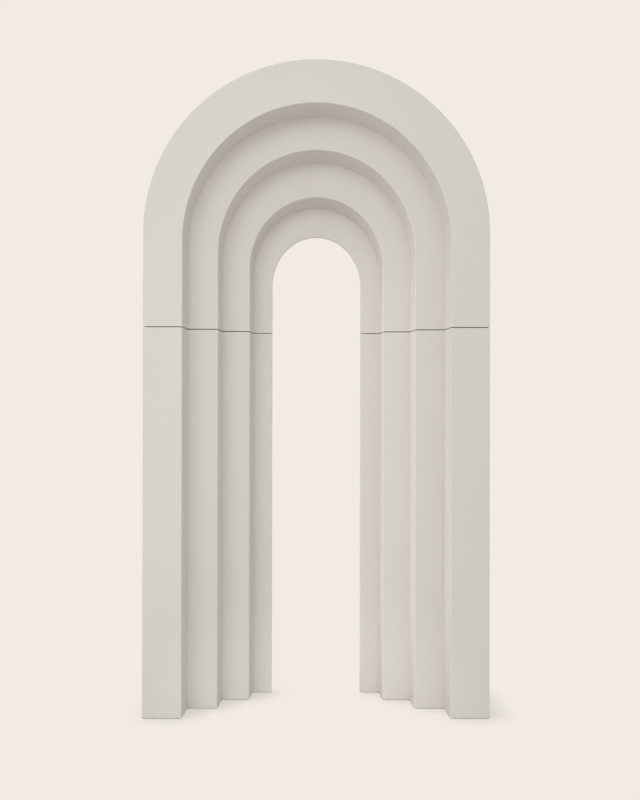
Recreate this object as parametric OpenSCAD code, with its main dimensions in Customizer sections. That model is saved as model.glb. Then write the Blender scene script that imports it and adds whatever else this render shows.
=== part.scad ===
// Free-standing stepped arch: two leg modules carry one arched head module.
// Each module is a hollow shell of flat boards and bent strips. Three stepped
// faces stand in front of a full back board, whose inner edge is the fourth.
// X runs across the arch, Y from its stepped front to its plain back, Z up.
// The origin is on the floor, under the middle of the arch.

/* [Modules] */
// Width across the outside of the arch
width = 1200; // [1000:10:1440]
// Height of a leg module, from the floor to the joint
leg_h = 1352; // [900:1:1700]
// Height of the head module, from the joint to its crown
head_h = 928; // [770:1:1200]
// Height of the shadow gap between the modules
joint_gap = 2.8; // [1:0.2:4]

/* [Faces on the legs] */
// Width of the first, outermost face
face_1_w = 135; // [80:1:165]
// Width of the second face
face_2_w = 113; // [80:1:140]
// Width of the third face
face_3_w = 107; // [80:1:140]
// Width of the fourth, innermost face
face_4_w = 79; // [60:1:110]

/* [Faces at the crown] */
// Height of the first face over its opening
crown_1_h = 151; // [120:1:190]
// Height of the second face
crown_2_h = 135; // [110:1:165]
// Height of the third face
crown_3_h = 148; // [120:1:180]
// Height of the fourth face
crown_4_h = 131; // [105:1:160]

/* [Rises] */
// Rise of the first opening's curve, for each millimetre of its half width
rise_1 = 1.035; // [1.01:0.005:1.1]
// Rise of the second opening's curve
rise_2 = 1.06; // [1.01:0.005:1.12]
// Rise of the third opening's curve
rise_3 = 1.07; // [1.01:0.005:1.15]
// Rise of the fourth, clear opening's curve
rise_4 = 1.12; // [1.01:0.005:1.2]

/* [Depths] */
// Step from the first face back to the second
step_1 = 128; // [80:1:160]
// Step from the second face back to the third
step_2 = 116; // [80:1:160]
// Step from the third face back to the fourth
step_3 = 106; // [80:1:160]
// How far each reveal leans into its opening from front to back
splay = 7; // [2:0.5:10]
// How much lower the back of the first reveal's curve is than its front
drop_1 = 9; // [0:0.5:16]
// How much lower the back of the second reveal's curve is
drop_2 = 15; // [0:0.5:20]
// How much lower the back of the third reveal's curve is
drop_3 = 16; // [0:0.5:20]

/* [Boards] */
// Thickness of the faces, the back and the plates
board = 18; // [12:1:25]
// Thickness of the bent strips in the reveals and round the outside
strip = 12; // [11:0.5:16]
// Radius of the eased edges
arris = 3.5; // [2:0.5:7]
// Depth of the shadow gap into the front of the back board
front_groove = 11; // [8:0.5:14]
// Depth of the shadow gap into the rear of the back board
rear_groove = 3; // [1:0.5:4]

/* [Hidden] */
$fn = 96;
// Width of the edge band of a face, which holds its eased edge
rim = 20;
// How far a head face's board reaches into that band, which slopes at the crown
lap = 5;
// Overlap that a cut has past the surface it opens
past = 1;

// Heights are kept to a hundredth of a millimetre, so pieces that meet share them exactly
function neat(height) = round(100 * height) / 100;

// Curve 0 runs round the outside; curves 1 to 4 are the edges of the openings
half = [
    width / 2,
    width / 2 - face_1_w,
    width / 2 - face_1_w - face_2_w,
    width / 2 - face_1_w - face_2_w - face_3_w,
    width / 2 - face_1_w - face_2_w - face_3_w - face_4_w
];
crown = [
    leg_h + head_h,
    leg_h + head_h - crown_1_h,
    leg_h + head_h - crown_1_h - crown_2_h,
    leg_h + head_h - crown_1_h - crown_2_h - crown_3_h,
    leg_h + head_h - crown_1_h - crown_2_h - crown_3_h - crown_4_h
];
rise = [half[0], half[1] * rise_1, half[2] * rise_2, half[3] * rise_3, half[4] * rise_4];
spring = [for (i = [0:4]) neat(crown[i] - rise[i])];

// Faces 1 to 4 lie behind each other; face 4 is the back board
step = [0, step_1, step_2, step_3];
drop = [0, drop_1, drop_2, drop_3];
front = [0, 0, step_1, step_1 + step_2, step_1 + step_2 + step_3];
depth = front[4] + board;
leg_top = neat(leg_h - joint_gap / 2);
head_foot = neat(leg_h + joint_gap / 2);

// ---------- Curves ----------

// Above its springing each curve is half an ellipse, as wide as its opening
function stretch(i) = rise[i] / half[i];

// A section run along curve i, up from a foot, over and down again. It is drawn in
// plan, as on the right leg, with X outward from the curve and Y to the back
module along_curve(i, foot = head_foot) {
    for (side = [0, 1])
        mirror([side, 0, 0])
            translate([half[i], 0, foot])
                linear_extrude(spring[i] - foot)
                    children();
    translate([0, 0, spring[i]])
        scale([1, 1, stretch(i)])
            rotate([90, 0, 0])
                rotate_extrude(angle = 180)
                    translate([half[i], 0])
                        mirror([0, 1])
                            children();
}

// The outline that curve i encloses above a height, grown outward all round. The
// curve may be taken at the back of its reveal, where it is lower
module inside_curve(i, grow, foot, lower = 0) {
    reach = half[i] + grow;
    translate([-reach, foot])
        square([2 * reach, spring[i] - lower - foot]);
    translate([0, spring[i] - lower])
        scale([1, stretch(i)])
            intersection() {
                circle(reach);
                translate([-reach, 0])
                    square([2 * reach, reach]);
            }
}

// A section run along curve n, sliding down towards the back by the drop of its
// reveal. It starts a little below the head, to be cut off level
module dropping_along_curve(n) {
    slope = drop[n] / step[n];
    multmatrix([
        [1, 0, 0, 0],
        [0, 1, 0, 0],
        [0, -slope, 1, slope * front[n]],
        [0, 0, 0, 1]
    ])
        along_curve(n, head_foot - rim)
            children();
}

// Cuts a piece off level at the foot of the head
module level_foot() {
    difference() {
        union()
            children();
        translate([-width, -past, head_foot - width])
            cube([2 * width, depth + 2 * past, width]);
    }
}

// ---------- Sections, with X outward from a curve and Y to the back ----------

// Where the side of opening n is at a depth behind its face. It stands upright as far
// back as its eased edge and leans into the opening from there
function lean_at(n, y) = -splay * (y - arris) / (step[n] - arris);

// Cuts a square corner at the origin to a quarter round
module corner_cut() {
    difference() {
        translate([-past, -past])
            square(arris + past);
        translate([arris, arris])
            circle(arris);
    }
}

// Edge band of face n round its opening, leaning with the reveal behind it
module opening_edge(n) {
    difference() {
        polygon([[0, 0], [rim, 0], [rim, board], [lean_at(n, board), board], [0, arris]]);
        corner_cut();
    }
}

// Edge band of the first face, round the outside of the arch
module outer_edge() {
    difference() {
        translate([-rim, 0])
            square([rim, board]);
        mirror([1, 0])
            corner_cut();
    }
}

// Edge band of the back board round the clear opening, eased on both sides
module clear_edge() {
    difference() {
        square([rim, board]);
        corner_cut();
        translate([0, board])
            mirror([0, 1])
                corner_cut();
    }
}

// Edge band of the back board round the outside, eased at the rear
module rear_edge() {
    difference() {
        translate([-rim, 0])
            square([rim, board]);
        translate([0, board])
            mirror([1, 0])
                mirror([0, 1])
                    corner_cut();
    }
}

// Strip of reveal n, between the back of face n and the front of the next one
module reveal_strip(n) {
    polygon([
        [lean_at(n, board), board],
        [strip + lean_at(n, board), board],
        [strip - splay, step[n]],
        [-splay, step[n]]
    ]);
}

// Strip round the outside, between the first face and the back board
module skin_strip() {
    translate([-strip, board])
        square([strip, front[4] - board]);
}

// How far face n reaches out past curve n - 1, behind the strip that meets it
function tuck(n) = n > 1 ? strip - splay : -rim;

// ---------- Shared pieces ----------

module painted() {
    color([0.80, 0.78, 0.75])
        translate([0, -depth / 2, 0])
            children();
}

// A piece drawn for the right leg, set on the side that is named
module on_side(name) {
    mirror([name == "left" ? 1 : 0, 0, 0])
        children();
}

module on_both_legs() {
    for (name = ["left", "right"])
        on_side(name)
            children();
}

// A board cut to an outline, with its front at the given depth
module upright(at, thick = board) {
    translate([0, at + thick, 0])
        rotate([90, 0, 0])
            linear_extrude(thick)
                children();
}

// The shadow gap round the joint, as a cut in the front and rear of the back board
module joint_grooves() {
    for (groove = [[front[4] - past, front_groove + past], [depth - rear_groove, rear_groove + past]])
        translate([-half[0] - past, groove[0], leg_top])
            cube([2 * (half[0] + past), groove[1], joint_gap]);
}

// Plan of a plate that fills the hollow of a leg behind its faces and strips
module plate_plan() {
    for (n = [1:3])
        translate([half[n] + strip, front[n] + board])
            square([half[0] - half[n] - 2 * strip, front[4] - front[n] - board]);
}

module plate(foot) {
    translate([0, 0, foot])
        linear_extrude(board)
            plate_plan();
}

// ---------- Leg modules ----------

module leg_face(n) {
    outer_x = half[n - 1] + tuck(n);
    linear_extrude(leg_top) {
        translate([half[n], front[n]])
            opening_edge(n);
        translate([half[n] + rim, front[n]])
            square([outer_x - half[n] - rim, board]);
        if (n == 1)
            translate([half[0], 0])
                outer_edge();
    }
}

module leg_reveal(n) {
    linear_extrude(leg_top)
        translate([half[n], front[n]])
            reveal_strip(n);
}

module leg_outer_side() {
    linear_extrude(leg_top)
        translate([half[0], 0])
            skin_strip();
}

module leg_back_board() {
    difference() {
        linear_extrude(leg_h) {
            translate([half[4], front[4]])
                clear_edge();
            translate([half[4] + rim, front[4]])
                square([half[0] - half[4] - 2 * rim, board]);
            translate([half[0], front[4]])
                rear_edge();
        }
        joint_grooves();
    }
}

// ---------- Head module ----------

module head_face(n) {
    level_foot() {
        difference() {
            upright(front[n])
                inside_curve(n - 1, tuck(n), head_foot - past, drop[n - 1]);
            upright(front[n] - past, board + 2 * past)
                inside_curve(n, rim - lap, head_foot - 2 * past);
        }
        dropping_along_curve(n)
            translate([0, front[n]])
                opening_edge(n);
        if (n == 1)
            along_curve(0, head_foot - rim)
                outer_edge();
    }
}

module head_reveal(n) {
    level_foot()
        dropping_along_curve(n)
            translate([0, front[n]])
                reveal_strip(n);
}

module head_outer_skin() {
    along_curve(0)
        skin_strip();
}

module head_back_board() {
    upright(front[4])
        difference() {
            inside_curve(0, -rim, head_foot);
            inside_curve(4, rim, head_foot - past);
        }
    along_curve(4)
        translate([0, front[4]])
            clear_edge();
    along_curve(0)
        translate([0, front[4]])
            rear_edge();
    on_both_legs()
        translate([half[4], front[4] + front_groove, leg_h])
            cube([half[0] - half[4], board - front_groove - rear_groove, joint_gap / 2]);
}

for (name = ["left", "right"]) {
    for (n = [1:3]) {
        painted() on_side(name) leg_face(n);
        painted() on_side(name) leg_reveal(n);
    }
    painted() on_side(name) leg_outer_side();
    painted() on_side(name) leg_back_board();
    painted() on_side(name) plate(0);
    painted() on_side(name) plate(leg_h - board);
    painted() on_side(name) plate(leg_h);
}
for (n = [1:3]) {
    painted() head_face(n);
    painted() head_reveal(n);
}
painted() head_outer_skin();
painted() head_back_board();
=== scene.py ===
"""Looks of the stepped arch: flat boards and bent strips, sprayed all over in matt warm white.

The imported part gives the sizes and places. Each painted piece starts as a section in plan, at
the foot of the right leg or of the head's right side, and is drawn straight up or swept round
from there. The bare plates that close the modules stay as they are packed.
X runs across the arch, Y from its front to its back and Z up, all in metres.
"""

import math

import bmesh
import bpy
from mathutils import Matrix, Vector


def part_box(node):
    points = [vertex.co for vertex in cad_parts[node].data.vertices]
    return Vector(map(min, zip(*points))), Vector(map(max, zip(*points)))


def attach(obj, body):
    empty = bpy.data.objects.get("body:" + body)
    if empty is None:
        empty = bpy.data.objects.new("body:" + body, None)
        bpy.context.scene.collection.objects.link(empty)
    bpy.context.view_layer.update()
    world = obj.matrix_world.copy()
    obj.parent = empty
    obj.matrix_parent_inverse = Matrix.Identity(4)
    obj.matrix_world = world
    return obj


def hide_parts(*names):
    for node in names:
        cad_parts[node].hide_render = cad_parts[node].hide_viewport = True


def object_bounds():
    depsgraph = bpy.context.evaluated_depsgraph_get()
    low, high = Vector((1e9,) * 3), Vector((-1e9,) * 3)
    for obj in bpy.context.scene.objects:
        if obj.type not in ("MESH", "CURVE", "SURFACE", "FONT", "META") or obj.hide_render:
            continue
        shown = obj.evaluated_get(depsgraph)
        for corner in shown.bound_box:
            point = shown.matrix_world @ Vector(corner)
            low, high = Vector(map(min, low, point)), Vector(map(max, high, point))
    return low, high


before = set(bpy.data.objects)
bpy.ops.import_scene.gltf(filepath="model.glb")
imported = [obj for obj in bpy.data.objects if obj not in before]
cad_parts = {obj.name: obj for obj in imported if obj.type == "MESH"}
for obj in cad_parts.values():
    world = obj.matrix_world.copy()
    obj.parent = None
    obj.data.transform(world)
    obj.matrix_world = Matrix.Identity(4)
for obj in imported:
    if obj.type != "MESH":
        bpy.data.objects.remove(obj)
cad_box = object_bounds()

# ---------- Sizes ----------

SPLAY = 0.007                          # lean of a reveal into its opening, front to back
DROPS = {1: 0.009, 2: 0.015, 3: 0.016} # how much lower each head reveal is at its back
ARRIS = 0.0035                         # radius of the eased edges
CUT_EDGE = 0.001                       # easing of the sawn edges at the joint
FOOT_EDGE = 0.002                      # easing of the edges round the foot
FRONT_GROOVE = 0.011                   # shadow gap into the front of the back board
REAR_GROOVE = 0.003                    # shadow gap into the rear of the back board
CROWN_FACES = (0.151, 0.135, 0.148, 0.131)     # heights of the four faces at the crown
RISES = (1, 1.035, 1.06, 1.07, 1.12)   # rise of each curve for its half width, outside first
SWEEP_STEPS = 144                      # facets round half a turn
ARRIS_STEPS = 6                        # facets round an eased edge
END_STEPS = 3                          # facets round the easing of an end
SMOOTH_UP_TO = math.radians(35)        # facets that turn less than this shade as one curve
NEAR = 1e-4                            # as good as touching, when picking out by place


def low(node):
    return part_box(node)[0]


def high(node):
    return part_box(node)[1]


board = high("right_face_1").y - low("right_face_1").y
strip = high("right_outer_side").x - low("right_outer_side").x
leg_top = high("right_face_1").z
head_foot = low("head_face_1").z
joint_middle = high("right_back_board").z

# Curve 0 runs round the outside; curves 1 to 4 are the edges of the four openings
half_width = [high("right_face_1").x]
half_width += [low(f"right_reveal_{n}").x + SPLAY for n in (1, 2, 3)]
half_width += [low("right_back_board").x]
crown = [high("head_face_1").z - sum(CROWN_FACES[:n]) for n in range(5)]
springing = [crown[n] - RISES[n] * half_width[n] for n in range(5)]

# Faces 1 to 3 lie behind each other; the back board shows as the fourth
face_front = {n: low(f"right_face_{n}").y for n in (1, 2, 3)}
face_front[4] = low("right_back_board").y


def drop(curve, deep):
    """How much lower a curve of the head is at a depth than at the front of its reveal."""
    if curve not in DROPS:
        return 0
    behind = (deep - face_front[curve]) / (face_front[curve + 1] - face_front[curve])
    return DROPS[curve] * min(max(behind, 0), 1)


# ---------- Modelling by hand ----------

SIDES = {"front": Vector((0, -1, 0)), "outer": Vector((1, 0, 0)),
         "back": Vector((0, 1, 0)), "inner": Vector((-1, 0, 0))}


def start_section(name, corners, foot):
    """Draws a section as a plane in plan, with its corners (curve, outward, y) in this order:
    inner front, outer front, outer back, inner back. Leaves it open in edit mode."""
    across = [half_width[curve] + outward for curve, outward, _ in corners]
    deep = [y for _, _, y in corners]
    bpy.ops.object.select_all(action="DESELECT")
    bpy.ops.mesh.primitive_plane_add(size=1, location=(across[0], deep[0], foot))
    piece = bpy.context.active_object
    piece.name = piece.data.name = name
    bpy.ops.object.transform_apply(location=True, rotation=False, scale=False)
    bpy.ops.object.mode_set(mode="EDIT")
    signs = ((-1, -1), (1, -1), (1, 1), (-1, 1))
    for (side, end), x, y in zip(signs, across, deep):
        now = Vector((across[0] + side / 2, deep[0] + end / 2, foot))
        select(piece, "VERT", lambda at: (at - now).length < NEAR)
        bpy.ops.transform.translate(value=Vector((x, y, foot)) - now)
    return piece


def select(piece, kind, wanted):
    """Selects the vertices or faces whose place is wanted, or the edges that are wanted."""
    bpy.ops.mesh.select_all(action="DESELECT")
    bpy.ops.mesh.select_mode(type=kind)
    mesh = bmesh.from_edit_mesh(piece.data)
    if kind == "VERT":
        for vertex in mesh.verts:
            vertex.select_set(wanted(vertex.co))
    elif kind == "EDGE":
        mesh.normal_update()
        for edge in mesh.edges:
            edge.select_set(wanted(edge))
    else:
        mesh.normal_update()
        for face in mesh.faces:
            face.select_set(wanted(face.calc_center_median(), face.normal))
    mesh.select_flush_mode()
    bmesh.update_edit_mesh(piece.data)


def ease_corners(piece, corners, eased):
    """Rounds the named corners of a section."""
    names = ("inner front", "outer front", "outer back", "inner back")
    for name, (curve, outward, y) in zip(names, corners):
        if name in eased:
            corner = Vector((half_width[curve] + outward, y))
            select(piece, "VERT", lambda at: (at.xy - corner).length < NEAR)
            bpy.ops.mesh.bevel(offset=ARRIS, offset_type="OFFSET", segments=ARRIS_STEPS,
                               profile=0.5, affect="VERTICES")


def pull_up(height):
    bpy.ops.mesh.extrude_region_move(TRANSFORM_OT_translate={"value": (0, 0, height)})


def close_up(piece):
    """Merges what meets, turns every face outward and leaves edit mode."""
    bpy.ops.mesh.select_all(action="SELECT")
    bpy.ops.mesh.remove_doubles(threshold=1e-6)
    bpy.ops.mesh.normals_make_consistent(inside=False)
    bpy.ops.object.mode_set(mode="OBJECT")


def draw_up_leg(name, corners, eased, tongue):
    """A board or strip of the right leg, drawn straight up from the floor."""
    piece = start_section(name, corners, 0)
    ease_corners(piece, corners, eased)
    bpy.ops.mesh.select_all(action="SELECT")
    pull_up(leg_top)
    if tongue:
        cut_tongue(piece, corners, leg_top, joint_middle)
    close_up(piece)
    return piece


def sweep_round_head(name, corners, eased, tongue):
    """A board or bent strip of the head, drawn up from the right foot, over and down again.

    Above its springing each curve is then stretched to its own rise, and lowered more and more
    towards the back of its reveal."""
    piece = start_section(name, corners, head_foot)
    ease_corners(piece, corners, eased)
    depths = {round(vertex.co.y, 5) for vertex in bmesh.from_edit_mesh(piece.data).verts}
    inner, outer = corners[0][0], corners[1][0]
    middle = (half_width[inner] + corners[0][1] + half_width[outer] + corners[1][1]) / 2
    start = springing[inner]
    bpy.ops.mesh.select_all(action="SELECT")
    pull_up(start - head_foot)
    bpy.ops.mesh.spin(steps=SWEEP_STEPS, angle=math.pi, center=(0, 0, start), axis=(0, 1, 0))
    pull_up(head_foot - start)
    for curve, is_outer in ((outer, True), (inner, False)):
        def on_side(at):
            reach = math.hypot(at.x, max(at.z - start, 0))
            return at.z > start - NEAR and (reach > middle) == is_outer
        select(piece, "VERT", on_side)
        bpy.ops.transform.resize(value=(1, 1, RISES[curve]), center_override=(0, 0, start))
        bpy.ops.mesh.hide(unselected=True)
        for deep in depths:
            select(piece, "VERT", lambda at: round(at.y, 5) == deep)
            bpy.ops.transform.translate(value=(0, 0, springing[curve] - drop(curve, deep) - start))
        bpy.ops.mesh.reveal()
    if tongue:
        cut_tongue(piece, corners, head_foot, joint_middle)
    close_up(piece)
    return piece


def cut_tongue(piece, corners, end, tip):
    """Raises the middle of an end between the two grooves, so that it meets the other module."""
    front, back = corners[0][2] + FRONT_GROOVE, corners[2][2] - REAR_GROOVE
    for y in (front, back):
        bpy.ops.mesh.select_all(action="SELECT")
        bpy.ops.mesh.bisect(plane_co=(0, y, 0), plane_no=(0, 1, 0))
    select(piece, "FACE", lambda at, normal: (abs(at.z - end) < NEAR and abs(normal.z) > 0.9
                                              and front < at.y < back))
    pull_up(tip - end)


def ease_end(piece, height, bare, radius):
    """Rounds the edges round an end of a piece, on its bare sides. The left foot of the head
    is the right one turned over."""
    def shows(edge):
        if not edge.is_convex or any(abs(corner.co.z - height) > 1e-5 for corner in edge.verts):
            return False
        hand = Vector((math.copysign(1, edge.verts[0].co.x), 1, 1))
        return any((face.normal * hand).dot(SIDES[side]) > 0.5
                   for face in edge.link_faces for side in bare)
    bpy.ops.object.mode_set(mode="EDIT")
    select(piece, "EDGE", shows)
    bpy.ops.mesh.bevel(offset=radius, segments=END_STEPS, affect="EDGES")
    bpy.ops.object.mode_set(mode="OBJECT")


def smooth(piece):
    """Shades the curves smooth and keeps the flats flat."""
    bpy.ops.object.select_all(action="DESELECT")
    piece.select_set(True)
    bpy.context.view_layer.objects.active = piece
    bpy.ops.object.shade_smooth_by_angle(angle=SMOOTH_UP_TO)
    weigh = piece.modifiers.new("Flat faces stay flat", "WEIGHTED_NORMAL")
    weigh.keep_sharp = True
    bpy.ops.object.modifier_apply(modifier=weigh.name)


def mirror_to_left(piece, name):
    """A copy of a right leg's piece, turned over for the left leg."""
    copy = piece.copy()
    copy.data = piece.data.copy()
    copy.name = copy.data.name = name
    bpy.context.collection.objects.link(copy)
    bpy.ops.object.select_all(action="DESELECT")
    copy.select_set(True)
    bpy.context.view_layer.objects.active = copy
    bpy.ops.object.mode_set(mode="EDIT")
    bpy.ops.mesh.select_all(action="SELECT")
    bpy.ops.transform.resize(value=(-1, 1, 1), center_override=(0, 0, 0))
    bpy.ops.mesh.normals_make_consistent(inside=False)
    bpy.ops.object.mode_set(mode="OBJECT")
    return copy


# ---------- Sections ----------

def face_section(n):
    """Face n, from the edge of its opening out to the strip that meets it."""
    outward = 0 if n == 1 else strip - SPLAY
    front, back = face_front[n], face_front[n] + board
    lean = SPLAY * board / (face_front[n + 1] - front)
    return ((n, 0, front), (n - 1, outward, front), (n - 1, outward, back), (n, -lean, back))


def reveal_section(n):
    """Reveal n, from the back of face n to the front of the next one."""
    front, back = face_front[n] + board, face_front[n + 1]
    lean = SPLAY * board / (back - face_front[n])
    return ((n, -lean, front), (n, strip - lean, front),
            (n, strip - SPLAY, back), (n, -SPLAY, back))


def skin_section():
    """The outer side of a leg and the skin over the head."""
    lo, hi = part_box("right_outer_side")
    return ((0, -strip, lo.y), (0, 0, lo.y), (0, 0, hi.y), (0, -strip, hi.y))


def back_section():
    """The back board, whose inner edge shows as the fourth face."""
    lo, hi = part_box("right_back_board")
    return ((4, 0, lo.y), (0, 0, lo.y), (0, 0, hi.y), (4, 0, hi.y))


# name on a leg, name on the head, corners of the section, its eased corners, its bare sides
shapes = [
    ("face_1", "face_1", face_section(1), ("inner front", "outer front"),
     ("front", "inner", "outer")),
    ("face_2", "face_2", face_section(2), ("inner front",), ("front", "inner")),
    ("face_3", "face_3", face_section(3), ("inner front",), ("front", "inner")),
    ("reveal_1", "reveal_1", reveal_section(1), (), ("inner",)),
    ("reveal_2", "reveal_2", reveal_section(2), (), ("inner",)),
    ("reveal_3", "reveal_3", reveal_section(3), (), ("inner",)),
    ("outer_side", "outer_skin", skin_section(), (), ("outer",)),
    ("back_board", "back_board", back_section(), ("inner front", "outer back", "inner back"),
     ("front", "inner", "outer", "back")),
]

painted_pieces = {}                    # node: the piece that shows in its place
for leg_name, head_name, corners, eased, bare in shapes:
    tongue = leg_name == "back_board"
    right = draw_up_leg(f"right_{leg_name}_painted", corners, eased, tongue)
    ease_end(right, 0, bare, FOOT_EDGE)
    ease_end(right, leg_top, bare, CUT_EDGE)
    painted_pieces[f"right_{leg_name}"] = right
    painted_pieces[f"left_{leg_name}"] = mirror_to_left(right, f"left_{leg_name}_painted")
    head = sweep_round_head(f"head_{head_name}_painted", corners, eased, tongue)
    ease_end(head, head_foot, bare, CUT_EDGE)
    painted_pieces[f"head_{head_name}"] = head
for piece in painted_pieces.values():
    smooth(piece)


# ---------- Finishes ----------

# Colours are given from the darkest to the palest patch of a surface
PAINT = ((0.654, 0.629, 0.596), (0.669, 0.644, 0.611))
CHIPS = ((0.42, 0.31, 0.20), (0.58, 0.45, 0.32))
SCUFF = (0.42, 0.39, 0.35)             # rubbed paint near the floor
SHEET = (0.50, 0.38, 0.26)             # broad patches in the fibreboard
SCUFF_HEIGHT = 0.05                    # height above the floor that the rubbing reaches
PEEL_DEPTH = 0.0001                    # relief of the orange peel
CHIP_DEPTH = 0.0002                    # relief of the raw board


def new_group(name, inputs, outputs):
    """An empty shader group with named value inputs and typed outputs."""
    group = bpy.data.node_groups.new(name, "ShaderNodeTree")
    for label, value in inputs.items():
        socket = group.interface.new_socket(label, in_out="INPUT", socket_type="NodeSocketFloat")
        socket.default_value = value
    for label, kind in outputs.items():
        group.interface.new_socket(label, in_out="OUTPUT", socket_type=f"NodeSocket{kind}")
    return group, group.nodes.new("NodeGroupInput"), group.nodes.new("NodeGroupOutput")


def calculate(tree, operation, first, second, clamp=False):
    """A Math node whose inputs are sockets or numbers."""
    node = tree.nodes.new("ShaderNodeMath")
    node.operation = operation
    node.use_clamp = clamp
    for socket, given in zip(node.inputs, (first, second)):
        if isinstance(given, (int, float)):
            socket.default_value = given
        else:
            tree.links.new(given, socket)
    return node.outputs["Value"]


def cloud(tree, scale, detail, stretch=(1, 1, 1), roughness=0.5):
    """Noise on the piece's own coordinates, stretched along an axis by a share of its scale."""
    place = tree.nodes.new("ShaderNodeTexCoord")
    mapping = tree.nodes.new("ShaderNodeMapping")
    mapping.inputs["Scale"].default_value = stretch
    noise = tree.nodes.new("ShaderNodeTexNoise")
    noise.inputs["Scale"].default_value = scale
    noise.inputs["Detail"].default_value = detail
    noise.inputs["Roughness"].default_value = roughness
    tree.links.new(place.outputs["Object"], mapping.inputs["Vector"])
    tree.links.new(mapping.outputs["Vector"], noise.inputs["Vector"])
    return noise.outputs["Fac"]


def build_spray_coat():
    """Fine orange peel left by a spray gun, and the patches where one pass overlaps another."""
    group, given, result = new_group(
        "spray_coat", {"Peel": 1, "Patches": 1}, {"Height": "Float", "Tone": "Float"})
    peel = calculate(group, "MULTIPLY", cloud(group, 420, 2), given.outputs["Peel"])
    passes = cloud(group, 6, 1, stretch=(1, 1, 0.25))
    patches = cloud(group, 11, 3)
    both = calculate(group, "SUBTRACT", calculate(group, "ADD", passes, patches), 1)
    group.links.new(peel, result.inputs["Height"])
    group.links.new(calculate(group, "MULTIPLY", both, given.outputs["Patches"]),
                    result.inputs["Tone"])
    return group


def build_scuffs():
    """Faint rubbing and dust in the lowest part of a piece that stands on a floor."""
    group, given, result = new_group("floor_scuffs", {"Height": 0.06}, {"Mask": "Float"})
    place = group.nodes.new("ShaderNodeTexCoord")
    split = group.nodes.new("ShaderNodeSeparateXYZ")
    group.links.new(place.outputs["Object"], split.inputs["Vector"])
    fall = calculate(group, "DIVIDE", split.outputs["Z"], given.outputs["Height"])
    fall = calculate(group, "SUBTRACT", 1, fall, clamp=True)
    marks = cloud(group, 60, 4, stretch=(1, 1, 0.5))
    marks = calculate(group, "SUBTRACT", marks, 0.45, clamp=True)
    group.links.new(calculate(group, "MULTIPLY", fall, marks), result.inputs["Mask"])
    return group


spray_coat = build_spray_coat()
floor_scuffs = build_scuffs()


def place_group(tree, group, **values):
    node = tree.nodes.new("ShaderNodeGroup")
    node.node_tree = group
    for label, value in values.items():
        node.inputs[label].default_value = value
    return node


def mix_colour(tree, factor, first, second):
    """A colour between two colours, by a mask."""
    node = tree.nodes.new("ShaderNodeMix")
    node.data_type = "RGBA"
    for socket, given in ((node.inputs["Factor"], factor), (node.inputs["A"], first),
                          (node.inputs["B"], second)):
        if isinstance(given, tuple):
            socket.default_value = (*given, 1)
        else:
            tree.links.new(given, socket)
    return node.outputs["Result"]


def new_material(name):
    material = bpy.data.materials.new(name)
    material.use_nodes = True
    return material, material.node_tree, material.node_tree.nodes["Principled BSDF"]


def add_bump(tree, height, distance, shader):
    bump = tree.nodes.new("ShaderNodeBump")
    bump.inputs["Strength"].default_value = 1
    bump.inputs["Distance"].default_value = distance
    tree.links.new(height, bump.inputs["Height"])
    tree.links.new(bump.outputs["Normal"], shader.inputs["Normal"])


def make_matt_white():
    """Water-based matt paint, sprayed on in two coats."""
    material, tree, shader = new_material("matt_warm_white")
    coat = place_group(tree, spray_coat, Peel=1, Patches=0.6)
    scuffs = place_group(tree, floor_scuffs, Height=SCUFF_HEIGHT)
    tone = calculate(tree, "ADD", coat.outputs["Tone"], 0.5, clamp=True)
    colour = mix_colour(tree, tone, *PAINT)
    rubbed = calculate(tree, "MULTIPLY", scuffs.outputs["Mask"], 0.5)
    colour = mix_colour(tree, rubbed, colour, SCUFF)
    tree.links.new(colour, shader.inputs["Base Color"])
    sheen = calculate(tree, "MULTIPLY", coat.outputs["Tone"], 0.2)
    tree.links.new(calculate(tree, "ADD", sheen, 0.85), shader.inputs["Roughness"])
    shader.inputs["Specular IOR Level"].default_value = 0.3
    add_bump(tree, coat.outputs["Height"], PEEL_DEPTH, shader)
    return material


def make_bare_board():
    """Raw fibreboard: fine chips in a warm brown, with a dry, slightly fuzzy surface."""
    material, tree, shader = new_material("bare_fibreboard")
    chips = cloud(tree, 900, 3, roughness=0.7)
    sheets = calculate(tree, "MULTIPLY", cloud(tree, 14, 2), 0.4)
    colour = mix_colour(tree, chips, *CHIPS)
    colour = mix_colour(tree, sheets, colour, SHEET)
    tree.links.new(colour, shader.inputs["Base Color"])
    shader.inputs["Roughness"].default_value = 0.85
    add_bump(tree, chips, CHIP_DEPTH, shader)
    return material


matt_white = make_matt_white()
bare_board = make_bare_board()

for node, piece in painted_pieces.items():
    piece.data.materials.clear()
    piece.data.materials.append(matt_white)
    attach(piece, "root")
    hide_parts(node)
for node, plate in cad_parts.items():
    if node.endswith("_plate"):
        plate.data.materials.clear()
        plate.data.materials.append(bare_board)


# ---------- Floor, light and camera ----------

STUDIO = (0.879, 0.831, 0.775)         # cream of the floor and of what lies behind it
FLOOR_BOUNCE = (0.80, 0.775, 0.74)     # colour with which the floor throws light back
SHADOW = (0.59, 0.56, 0.52)            # darkest part of the soft shadow painted beside the feet
FOOT_SHADE_LINE = (0.13, 0.12, 0.11)         # darkest part of the shade painted in a line along the foot
SHADOW_REACH = 0.10                    # how far from the feet the soft shadow is seen
LINE_REACH = 0.012                     # how far from the feet the line is seen
SHADOW_LIGHT = (-0.55, 0.2, 0.81)      # side whose light the feet keep off in the shadow
LINE_LIGHT = (0, 0.5, 0.87)            # the same for the line, which is darkest in front
FLOOR_SIZE = 60                        # runs well past every view

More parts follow.
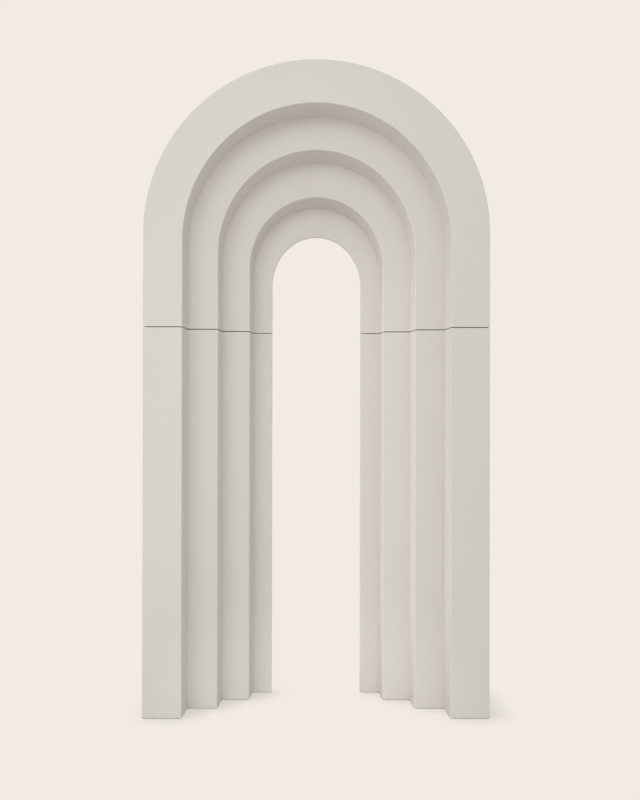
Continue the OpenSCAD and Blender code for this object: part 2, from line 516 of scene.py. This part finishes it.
# name, place, aim, width, height, watts, spread in degrees
SOFT_BOXES = (
    ("key", (-3.86, -10.60, 5.20), (0, 0, 1.1), 4, 4, 166, 180),
    ("right_fill", (4.40, -10.60, 2.60), (0, 0, 1.1), 4, 4, 30, 180),
    ("top_key", (0, -10.60, 6.20), (0, 0, 1.1), 4, 4, 117, 180),
    ("left_front", (-0.45, -1.6, 1.1), (-0.45, 0, 1.1), 0.6, 2.0, 0.72, 60),
    ("left_panel", (-0.95, -0.75, 1.1), (0.46, -0.1, 1.1), 0.3, 2.4, 0.56, 40),
    ("passage", (-0.14, -0.02, 0.85), (0.5, -0.02, 0.85), 0.30, 1.6, 0.72, 90),
    ("foot_strip", (0, -0.9, 0.15), (0, 0, 0.05), 0.9, 0.15, 0.12, 40),
)
WORLD_STRENGTH = 0.730

EYE = (-0.0133, 3.8408, 1.0856)        # camera: across, out in front of the arch, and up
AIM = (0.378, 0.213, 0.109)            # camera: turn to the right, tip up and roll, in degrees
LENS, SENSOR = 50, 36                  # in millimetres


def open_share(tree, distance, towards):
    """How much of the half space towards a direction is open, up to a distance."""
    share = tree.nodes.new("ShaderNodeAmbientOcclusion")
    share.samples = 16
    share.inputs["Distance"].default_value = distance
    direction = tree.nodes.new("ShaderNodeCombineXYZ")
    for socket, value in zip(direction.inputs, towards):
        socket.default_value = value
    tree.links.new(direction.outputs["Vector"], share.inputs["Normal"])
    return share.outputs["AO"]


def add_floor():
    """A plain floor that runs out into the studio. It is darker only close to the arch, where
    shade is painted into the colour the camera sees: a soft painted shadow that falls to the
    right, and a thin line of painted shade along the foot."""
    bpy.ops.object.select_all(action="DESELECT")
    bpy.ops.mesh.primitive_plane_add(size=FLOOR_SIZE, location=(0, 0, 0))
    floor = bpy.context.active_object
    floor.name = "studio_floor"
    material, tree, shader = new_material("studio_floor")
    shader.inputs["Base Color"].default_value = (*FLOOR_BOUNCE, 1)
    shader.inputs["Roughness"].default_value = 0.9
    shader.inputs["Specular IOR Level"].default_value = 0.1
    lit = open_share(tree, SHADOW_REACH, SHADOW_LIGHT)
    clear = calculate(tree, "MULTIPLY", open_share(tree, LINE_REACH, LINE_LIGHT), 2)
    clear = calculate(tree, "SUBTRACT", clear, 0.3, clamp=True)
    # Painted shade: the floor's own colour darkens where the arch closes off the space near it,
    # not where the lamps are kept off
    colour = mix_colour(tree, lit, SHADOW, STUDIO)
    shown = tree.nodes.new("ShaderNodeEmission")
    tree.links.new(mix_colour(tree, clear, FOOT_SHADE_LINE, colour), shown.inputs["Color"])
    rays = tree.nodes.new("ShaderNodeLightPath")
    blend = tree.nodes.new("ShaderNodeMixShader")
    output = tree.nodes["Material Output"]
    tree.links.new(rays.outputs["Is Camera Ray"], blend.inputs["Fac"])
    tree.links.new(shader.outputs["BSDF"], blend.inputs[1])
    tree.links.new(shown.outputs["Emission"], blend.inputs[2])
    tree.links.new(blend.outputs["Shader"], output.inputs["Surface"])
    floor.data.materials.append(material)


def set_world():
    """Even light from all round, behind a cream studio that the camera and gloss see."""
    world = bpy.data.worlds.new("studio")
    bpy.context.scene.world = world
    world.use_nodes = True
    tree = world.node_tree
    light = tree.nodes["Background"]
    light.inputs["Color"].default_value = (1, 1, 1, 1)
    light.inputs["Strength"].default_value = WORLD_STRENGTH
    shown = tree.nodes.new("ShaderNodeBackground")
    shown.inputs["Color"].default_value = (*STUDIO, 1)
    rays = tree.nodes.new("ShaderNodeLightPath")
    seen = calculate(tree, "MAXIMUM", rays.outputs["Is Camera Ray"], rays.outputs["Is Glossy Ray"])
    seen = calculate(tree, "MAXIMUM", seen, rays.outputs["Is Transmission Ray"])
    blend = tree.nodes.new("ShaderNodeMixShader")
    tree.links.new(seen, blend.inputs["Fac"])
    tree.links.new(light.outputs["Background"], blend.inputs[1])
    tree.links.new(shown.outputs["Background"], blend.inputs[2])
    tree.links.new(blend.outputs["Shader"], tree.nodes["World Output"].inputs["Surface"])


def add_soft_box(name, place, aim, width, height, watts, spread):
    """A soft box that faces a point. A grid in front of it narrows its spread."""
    lamp = bpy.data.lights.new(name, "AREA")
    lamp.shape = "RECTANGLE"
    lamp.size = width
    lamp.size_y = height
    lamp.energy = watts
    lamp.spread = math.radians(spread)
    soft_box = bpy.data.objects.new(name, lamp)
    bpy.context.collection.objects.link(soft_box)
    soft_box.location = place
    towards = Vector(aim) - Vector(place)
    soft_box.rotation_euler = towards.to_track_quat("-Z", "Y").to_euler()
    soft_box.visible_camera = False


def add_camera():
    """A normal lens at the height of a seated eye, almost squarely in front of the arch."""
    camera = bpy.data.objects.new("camera", bpy.data.cameras.new("camera"))
    bpy.context.collection.objects.link(camera)
    camera.data.lens = LENS
    camera.data.sensor_width = SENSOR
    across, out, up = EYE
    turn, tip, roll = (math.radians(angle) for angle in AIM)
    aim = Matrix.Rotation(-turn, 4, "Z") @ Matrix.Rotation(math.pi / 2 + tip, 4, "X")
    camera.matrix_world = (Matrix.Translation((across, cad_box[0].y - out, up))
                           @ aim @ Matrix.Rotation(roll, 4, "Z"))
    bpy.context.scene.camera = camera


add_floor()
set_world()
for soft_box in SOFT_BOXES:
    add_soft_box(*soft_box)
add_camera()
bpy.context.scene.view_settings.view_transform = "Standard"
